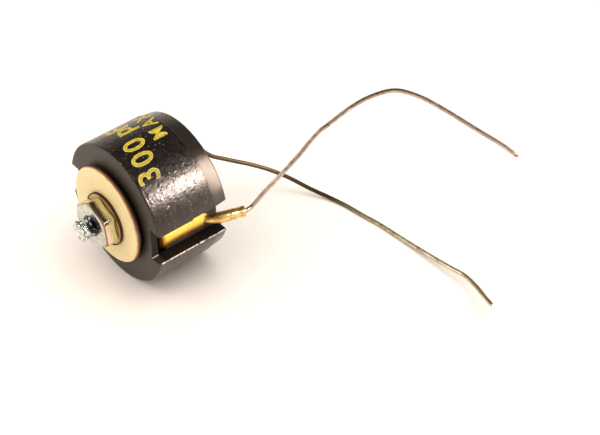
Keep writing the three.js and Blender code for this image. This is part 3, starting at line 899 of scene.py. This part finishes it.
STUD_TIP_Y = -7.5
STUD_RADIUS = 1.75
TIP_RADIUS = 1.62
WORN_FROM_Y = -5.9      # the threads are battered flat from here to the tip
THREAD_DEPTH = 0.42
HEAD_FRONT_Y = 11.15
HEAD_RADIUS = 3.4
HEAD_HEIGHT = 2.1
# (radius, y behind the head's front)
HEAD_STEPS = ((3.2, 0.0), (HEAD_RADIUS, 0.2), (HEAD_RADIUS, 1.15), (3.25, 1.5), (2.85, 1.8),
              (2.2, 1.98), (1.4, 2.07), (0.6, HEAD_HEIGHT))
HEAD_SLOT_ANGLE = math.radians(-36)


def centre_screw():
    sides = 72
    turn = angles(sides)
    rings = []
    for y, share in ((-7.02, 0.25), (-7.2, 0.62), (-7.24, 0.9)):
        ring = []
        for t in turn:
            out = np.array([math.cos(t), 0.0, math.sin(t)])
            spot = out * share * 2.2
            chewed = 0.30 * rough(spot, 1.5, 11.0) + 0.16 * rough(spot, 3.4, 5.0)
            radius = TIP_RADIUS * share * (1 + 0.10 * rough(out, 2.6, 2.0))
            front = max(y + chewed - 0.1 * (1 - share), STUD_TIP_Y)
            ring.append((radius * out[0], front, radius * out[2]))
        rings.append(ring)
    for y in np.arange(-7.12, 0.4, THREAD_PITCH / 9):
        ring = []
        worn = max(0.0, min(1.0, (y - WORN_FROM_Y) / -0.5))
        for t in turn:
            out = np.array([math.cos(t), 0.0, math.sin(t)])
            ridge = min(1.0, thread_ridge(t, y) * 1.25)
            radius = STUD_RADIUS - THREAD_DEPTH * (1 - ridge)
            place = out * 1.8 + np.array([0, y, 0])
            spread = TIP_RADIUS + 0.42 * rough(place, 1.15, 8.0) + 0.26 * rough(place, 2.7, 1.0)
            radius = radius * (1 - worn) + spread * worn
            radius += 0.02 * rough(out * 1.7 + np.array([0, y, 0]), 5.0, 4.0)
            bent = y + 0.10 * worn * rough(out * 2, 3.0, 6.0)
            ring.append((radius * out[0], bent, radius * out[2]))
        rings.append(ring)
    shank = [(STUD_RADIUS, 0.75), (STUD_RADIUS, HEAD_FRONT_Y)]
    for radius, y in shank + [(r, HEAD_FRONT_Y + back) for r, back in HEAD_STEPS]:
        rings.append([(radius * math.cos(t), y, radius * math.sin(t)) for t in turn])
    piece = solid("centre_screw_threaded", sweep(rings), materials=[STUD], sharp=50)
    cos, sin = math.cos(HEAD_SLOT_ANGLE), math.sin(HEAD_SLOT_ANGLE)
    long, wide, depth = 4.5, 0.45, 1.0
    rear = HEAD_FRONT_Y + HEAD_HEIGHT
    corners = [(u * cos - v * sin, y, u * sin + v * cos) for y in (rear - depth, rear + depth)
               for u, v in ((-long, -wide), (long, -wide), (long, wide), (-long, wide))]
    faces = [(3, 2, 1, 0), (4, 5, 6, 7), (0, 1, 5, 4), (1, 2, 6, 5), (2, 3, 7, 6), (3, 0, 4, 7)]
    cut(piece, solid("cutter", (np.array(corners), faces), materials=[STUD]))
    shade(piece.data, 42)
    seat(piece, "drum", "zinc_steel", "centre_screw")


centre_screw()


# ---- terminals

STRIP_MIDDLE_X = 10.2
STRIP_THICKNESS = 0.4
STRIP_HALF_WIDTH = 1.8
STRIP_FRONT_Y = 1.85
STRIP_FOLD = 0.42       # the radius of its fold at the front
STRIP_BEND_Y = 8.2      # from here back it leans a little outward
CRIMP_Z = -0.4
CRIMP_MOUTH_Y = 16.95
CRIMP_MIDDLE_RADIUS = 0.78
CRIMP_ROOT_RADIUS = 0.46
CRIMP_SLIT = 0.14
TONGUE_WIDTH = 1.7
# the sheet of painted shade behind each strip
SHADE_SHEET_X = 9.86
SHADE_SHEET_HALF_WIDTH = 2.48
# (y, share of the half width)
SHADE_SHEET_SHAPE = ((3.0, 1.0), (5.0, 1.0), (8.0, 1.0), (11.0, 1.0), (12.2, 1.0), (12.9, 0.98),
                 (13.4, 0.93), (13.5, 0.88))


def bowed_section(half, t, bow):
    """A strip's cross-section as (across, out) points. It is 2 t thick, and bowed outward."""
    places = [k / 6 - 1 for k in range(13)]
    inner = [(s * half * 0.98, bow * (1 - s * s) - t) for s in places]
    outer = [(s * half, bow * (1 - s * s) + t * (0.55 if abs(s) == 1 else 1.0)) for s in places]
    return inner + outer[::-1]


def strip_part():
    """The strip in the slot, folded in at its front end."""
    path = [(9.3, STRIP_FRONT_Y, 0.0), (9.7, STRIP_FRONT_Y, 0.0)]
    for k in range(9):
        a = -math.pi / 2 + k / 8 * math.pi / 2
        path.append((STRIP_MIDDLE_X - STRIP_FOLD + STRIP_FOLD * math.cos(a),
                     STRIP_FRONT_Y + STRIP_FOLD + STRIP_FOLD * math.sin(a), 0.0))
    path += [(STRIP_MIDDLE_X, y, 0.0) for y in (3.5, 5.0, 6.6, 8.0, STRIP_BEND_Y)]
    path += [(STRIP_MIDDLE_X + 0.12 * k / 6, STRIP_BEND_Y + 2.3 * k / 6, 0.0) for k in range(1, 7)]

    def section(i, middle):
        end = 0.03 if i in (0, len(path) - 1) else 0.0
        bow = 0.34 if middle[1] > 2.0 else 0.0
        return bowed_section(STRIP_HALF_WIDTH - end, STRIP_THICKNESS / 2 - end, bow)

    return loft(path, (0.0, -1.0, 0.0), section)


def bezier(a, b, c, d, count):
    t = np.linspace(0, 1, count)[:, None]
    return (1 - t) ** 3 * a + 3 * (1 - t) ** 2 * t * b + 3 * (1 - t) * t ** 2 * c + t ** 3 * d


def smooth(t):
    """0 to 1 with level ends."""
    t = max(0.0, min(1.0, t))
    return t * t * (3 - 2 * t)


def crimp_part():
    """The tongue that leaves the strip's end flat and is rolled into a tube with a slit."""
    route = ((10.3, 10.3, CRIMP_Z + 0.3), (11.9, 11.9, CRIMP_Z + 0.3), (12.4, 14.3, CRIMP_Z + 0.3),
             (13.06, CRIMP_MOUTH_Y, CRIMP_Z + 0.05))
    path = bezier(*(np.array(p) for p in route), 44)
    sides, ups = frames_along(path, np.array([1.0, -0.6, 0.0]))
    rings = []
    for i, centre in enumerate(path):
        t = i / (len(path) - 1)
        rolled = min(1.0, max(0.0, t / 0.26)) ** 0.8
        wider = smooth((t - 0.05) / 0.4)
        middle = CRIMP_ROOT_RADIUS + (CRIMP_MIDDLE_RADIUS - CRIMP_ROOT_RADIUS) * wider
        width = TONGUE_WIDTH + (2 * math.pi * middle - CRIMP_SLIT - TONGUE_WIDTH) * rolled
        curl = max(rolled, 0.05) / middle
        pinch = 1 - 0.06 * math.exp(-((t - 0.86) / 0.07) ** 2)
        section = []
        steps = 18
        for layer in (1, -1):
            order = range(steps + 1) if layer > 0 else range(steps, -1, -1)
            for k in order:
                w = width * (k / steps - 0.5)
                a = w * curl
                lift = (1 - math.cos(a)) / curl
                u, v = math.sin(a) / curl, middle * (rolled ** 0.5) - lift
                thick = STRIP_THICKNESS / 2 * (0.55 if k in (0, steps) else 1.0)
                section.append((u + layer * thick * math.sin(a), v + layer * thick * math.cos(a)))
        angle = math.radians(28) * rolled
        ring = []
        for u, v in section:
            uu = u * math.cos(angle) - v * math.sin(angle)
            vv = u * math.sin(angle) + v * math.cos(angle)
            bumpy = 1 + 0.02 * rough(centre + ups[i] * vv + sides[i] * uu, 1.6, 9.0)
            ring.append(centre + (sides[i] * uu + ups[i] * vv) * pinch * bumpy)
        rings.append(ring)
    rings = np.array(rings)
    count, around = rings.shape[:2]
    points = rings.reshape(-1, 3)
    faces = grid_faces(count, around)
    half = around // 2
    for base, flip in ((0, False), ((count - 1) * around, True)):
        for k in range(half - 1):
            quad = (base + k, base + k + 1, base + around - 2 - k, base + around - 1 - k)
            faces.append(quad[::-1] if flip else quad)
    return points, faces


def meniscus(lean):
    """Solder drawn up round the wire in the crimp's mouth."""
    outline = [(0.30, -2.2), (0.44, -2.2), (0.47, -0.5), (0.50, -0.05), (0.48, 0.08), (0.43, 0.25),
               (0.39, 0.5), (0.37, 0.8), (0.36, 1.1), (0.30, 1.1)]
    points, faces = lathe(outline, 28)
    for p in points:
        p *= 1 + 0.03 * rough(p, 2.5, lean)
    return points + np.array([13.1, CRIMP_MOUTH_Y, CRIMP_Z]), faces


def shade_sheet_part():
    """A dark sheet behind the strip, which shows past its rear end: painted shade deep in the slot."""
    def section(i, _):
        return bowed_section(SHADE_SHEET_HALF_WIDTH * SHADE_SHEET_SHAPE[i][1], 0.09, 0.05)

    return loft([(SHADE_SHEET_X, y, -0.4) for y, _ in SHADE_SHEET_SHAPE], (1.0, 0.0, 0.0), section)


def terminal(side):
    strip, crimp, shade_sheet, bead = (
        (on_side(points, side), faces) for points, faces in (
            strip_part(), crimp_part(), shade_sheet_part(), meniscus(2.0 if side == "left" else 7.0)))
    piece = solid(f"terminal_{side}_brass", strip, crimp, materials=[BRASS, CRIMP], indices=[0, 1],
                  sharp=38)
    seat(piece, "drum", "brass", f"terminal_{side}")
    seat(solid(f"backing_{side}_fibre", shade_sheet, materials=[SHADE_SHEET]), "drum")
    piece = solid(f"solder_{side}_meniscus", bead, materials=[SOLDER], sharp=50)
    seat(piece, "drum", "solder", f"solder_bead_{side}")


for side in LEFT_RIGHT:
    terminal(side)


# ---- foils, mica, bush and plate

for name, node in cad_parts.items():
    if node.hide_render:
        continue
    look = FOIL
    if name.startswith("pressure"):
        look = PLATE
    elif name.startswith("mica"):
        look = MICA
    elif name.startswith("insulating"):
        look = FIBRE
    node.data.materials.clear()
    node.data.materials.append(look)


# ---- marking

# text, angles round the drum, baselines and character height of each line
LINES = (("300", (58.5, 73.0, 87.5), (4.9, 5.8, 6.5), 4.0), ("pF", (108, 119), (7.1, 7.7), 4.0),
         ("MAX", (87.5, 102.5, 116), (10.7, 11.3, 11.8), 2.7))
TYPE_WIDTH = 1.32
TYPE_HEIGHT = 1.42
TYPE_SLANT = 0.2
INK_LIFT = 0.006


def stamp(name, text, degrees, baselines, height, grow, thickness, look):
    """Raised ink characters wrapped on the drum. Their tops point to the drum's front."""
    shells = []
    for character, at, down in zip(text, degrees, baselines):
        curve = bpy.data.curves.new("type", "FONT")
        curve.body = character
        curve.size = 1.0
        curve.offset = grow
        curve.resolution_u = 6
        writer = new_object("type", curve)
        flat = bpy.data.meshes.new_from_object(
            writer.evaluated_get(bpy.context.evaluated_depsgraph_get()))
        bpy.data.objects.remove(writer)
        bpy.data.curves.remove(curve)
        work = bmesh.new()
        work.from_mesh(flat)
        bpy.data.meshes.remove(flat)
        bmesh.ops.remove_doubles(work, verts=work.verts, dist=1e-5)
        for _ in range(2):
            bmesh.ops.triangulate(work, faces=work.faces)
            long_edges = [e for e in work.edges if e.calc_length() > 0.09]
            if long_edges:
                bmesh.ops.subdivide_edges(work, edges=long_edges, cuts=2)
        bmesh.ops.triangulate(work, faces=work.faces)
        xs = [v.co.x for v in work.verts]
        middle = (min(xs) + max(xs)) / 2
        for v in work.verts:
            across, up = (v.co.x - middle) * height * TYPE_WIDTH, v.co.y * height * TYPE_HEIGHT
            wander = 0.05 * noise.noise(Vector((across * 1.6, up * 1.6, at)))
            angle = math.radians(at) + (across + wander) / DRUM_RADIUS
            v.co = (angle, down + TYPE_SLANT * across - up + wander, 0.0)
        body = bmesh.ops.extrude_face_region(work, geom=list(work.faces))
        top = {v for v in body["geom"] if isinstance(v, bmesh.types.BMVert)}
        for v in work.verts:
            radius = DRUM_RADIUS + INK_LIFT + (thickness if v in top else -0.05)
            angle, along = v.co.x, v.co.y
            v.co = (radius * math.cos(angle), along, radius * math.sin(angle))
        work.verts.index_update()
        shells.append((np.array([v.co[:] for v in work.verts]),
                       [tuple(v.index for v in f.verts) for f in work.faces]))
        work.free()
    seat(solid(name, *shells, materials=[look], sharp=50), "drum")


for row, line in enumerate(LINES, 1):
    stamp(f"marking_{row}_edge", *line, 0.015, 0.0, INK_EDGE)
    stamp(f"marking_{row}_fill", *line, -0.012, 0.012, INK_FILL)


# ---- floor, light and backdrop

def floor():
    mesh = bpy.data.meshes.new("floor")
    size = 1.5
    corners = [(-size, -size, 0), (size, -size, 0), (size, size, 0), (-size, size, 0)]
    mesh.from_pydata(corners, [], [(0, 1, 2, 3)])
    piece = new_object("floor", mesh)
    look = Look("floor_paper")
    shade = look.noise(0.004, detail=2.0)
    colour = look.mix(shade, (0.93, 0.865, 0.805, 1.0), (0.94, 0.88, 0.825, 1.0))
    mesh.materials.append(look.finish(colour, 0.7))


def softbox(name, direction, distance, size, radiance, colour, diffuse=True, glossy=True):
    """An area lamp of size (across, up) that faces the part from a direction."""
    data = bpy.data.lights.new(name, "AREA")
    data.shape = "RECTANGLE"
    data.size, data.size_y = size
    data.energy = radiance * math.pi * size[0] * size[1]
    data.color = colour
    lamp = new_object(name, data)
    way = Vector(direction).normalized()
    middle = Vector((0.0, 0.0, 0.0127))
    lamp.location = middle + way * distance
    lamp.rotation_euler = way.to_track_quat("Z", "Y").to_euler()
    lamp.visible_diffuse = diffuse
    lamp.visible_glossy = glossy


def surroundings():
    """A world that is bright and warm near the horizon, and dark above."""
    world = bpy.data.worlds.new("studio")
    scene.world = world
    world.use_nodes = True
    tree = world.node_tree
    back = tree.nodes["Background"]
    where = tree.nodes.new("ShaderNodeTexCoord")
    split = tree.nodes.new("ShaderNodeSeparateXYZ")
    ramp = tree.nodes.new("ShaderNodeValToRGB")
    tree.links.new(where.outputs["Generated"], split.inputs[0])
    tree.links.new(split.outputs["Z"], ramp.inputs["Fac"])
    low, high = ramp.color_ramp.elements
    low.position, low.color = 0.15, (0.92, 0.82, 0.74, 1.0)
    high.position, high.color = 0.55, (0.11, 0.10, 0.095, 1.0)
    tree.links.new(ramp.outputs["Color"], back.inputs["Color"])


bpy.context.scene.view_settings.view_transform = "Standard"
floor()
surroundings()
softbox("light_streak", (0.69, 0.445, 0.55), 0.45, (0.045, 0.11), 150.0, (1.0, 0.94, 0.92),
        diffuse=False)
softbox("light_band", (0.56, 0.77, 0.27), 0.6, (0.22, 0.5), 17.0, (1.0, 0.88, 0.76), diffuse=False)
softbox("light_key", (0.25, 0.35, 0.9), 0.6, (0.3, 0.3), 2.2, (1.0, 0.96, 0.92), glossy=False)
softbox("light_fill", (-0.35, -0.85, 0.6), 0.6, (0.8, 0.8), 1.2, (1.0, 0.96, 0.88))
softbox("light_overhead", (0.0, 0.0, 1.0), 1.2, (2.4, 2.4), 1.6, (1.0, 0.965, 0.93), glossy=False)
